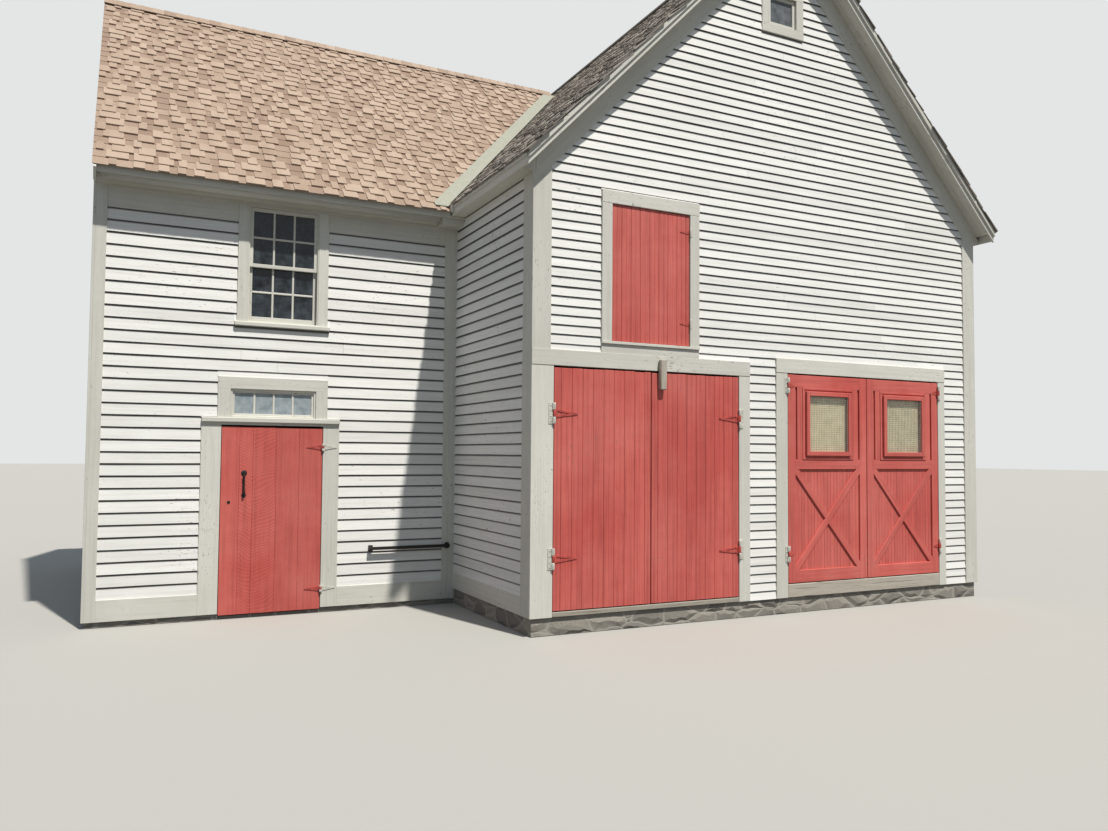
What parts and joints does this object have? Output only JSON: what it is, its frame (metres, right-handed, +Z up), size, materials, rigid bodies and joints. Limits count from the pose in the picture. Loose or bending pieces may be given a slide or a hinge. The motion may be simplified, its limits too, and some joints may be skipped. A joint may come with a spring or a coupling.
{
  "type": "gable-front barn with set-back wing",
  "caption": "Clapboarded timber barn, gable to the front, with a lower set-back wing, hinged plank and framed doors, a loft door and sash windows.",
  "frame": {"origin": "on the ground under the middle of the main block, at the underside of the middle floor sleeper", "axes": "+X to the right along the gable front, +Y into the building, +Z up"},
  "size_m": [10.39, 9.624, 8.2204],
  "materials": {
    "clapboard_paint": "weathered oil paint on sawn clapboards",
    "trim_paint": "weathered oil paint on planed boards",
    "red_door_paint": "faded barn-red paint on boards",
    "old_timber": "unpainted sawn timber, greyed",
    "field_stone": "rough field stone in lime mortar",
    "wooden_shakes": "weathered split shakes",
    "asphalt_shingles": "tan mineral granules",
    "painted_flashing": "painted sheet metal",
    "painted_iron": "brush-painted wrought iron",
    "black_iron": "dark rusted iron",
    "window_glass": "old drawn glass"
  },
  "bodies": {
    "building": {"foundation": "field_stone", "barn_floor": "old_timber", "barn_loft_floor": "old_timber", "barn_posts": "old_timber", "gable_piers": "clapboard_paint", "gable_wall_upper": "clapboard_paint", "back_gable_wall": "clapboard_paint", "barn_left_wall": "clapboard_paint", "barn_right_wall": "clapboard_paint", "barn_roof_left": "wooden_shakes", "barn_roof_right": "wooden_shakes", "rake_boards_left": "trim_paint", "rake_boards_right": "trim_paint", "barn_eaves": "trim_paint", "corner_boards": "trim_paint", "skirt_boards": "trim_paint", "door_headers": "trim_paint", "door_jambs": "trim_paint", "thresholds": "old_timber", "hinge_plates": "painted_iron", "loft_door": "red_door_paint", "loft_door_casing": "trim_paint", "gable_windows": "trim_paint", "window_glass": "window_glass", "ridge_caps": "wooden_shakes", "wing_floor": "old_timber", "wing_upper_floor": "old_timber", "wing_wall_left": "clapboard_paint", "wing_wall_right": "clapboard_paint", "wing_wall_upper": "clapboard_paint", "wing_back_wall": "clapboard_paint", "wing_party_wall": "clapboard_paint", "wing_roof_front": "asphalt_shingles", "wing_roof_back": "asphalt_shingles", "wing_eaves": "trim_paint", "valley_flashing": "painted_flashing", "transom_frame": "trim_paint", "sash_windows": "trim_paint", "wall_bar": "black_iron"},
    "left_pair_left_leaf": {"left_pair_left_leaf": "red_door_paint"},
    "left_pair_right_leaf": {"left_pair_right_leaf": "red_door_paint", "stop_block": "old_timber"},
    "right_pair_left_leaf": {"right_pair_left_leaf": "red_door_paint"},
    "right_pair_right_leaf": {"right_pair_right_leaf": "red_door_paint"},
    "wing_door": {"wing_door": "red_door_paint"}
  },
  "joints": [
    {"name": "left_pair_left_hinge", "type": "hinge", "parent": "building", "child": "left_pair_left_leaf", "pos_m": [-2.932, -4.593, 0.24], "axis": [0, 0, -1], "range_deg": [0, 110]},
    {"name": "left_pair_right_hinge", "type": "hinge", "parent": "building", "child": "left_pair_right_leaf", "pos_m": [-0.648, -4.593, 0.24], "axis": [0, 0, 1], "range_deg": [0, 100]},
    {"name": "right_pair_left_hinge", "type": "hinge", "parent": "building", "child": "right_pair_left_leaf", "pos_m": [0.048, -4.593, 0.34], "axis": [0, 0, -1], "range_deg": [0, 100]},
    {"name": "right_pair_right_hinge", "type": "hinge", "parent": "building", "child": "right_pair_right_leaf", "pos_m": [2.482, -4.593, 0.34], "axis": [0, 0, 1], "range_deg": [0, 110]},
    {"name": "wing_door_hinge", "type": "hinge", "parent": "building", "child": "wing_door", "pos_m": [-4.728, -2.393, 0.045], "axis": [0, 0, 1], "range_deg": [0, 110]}
  ]
}
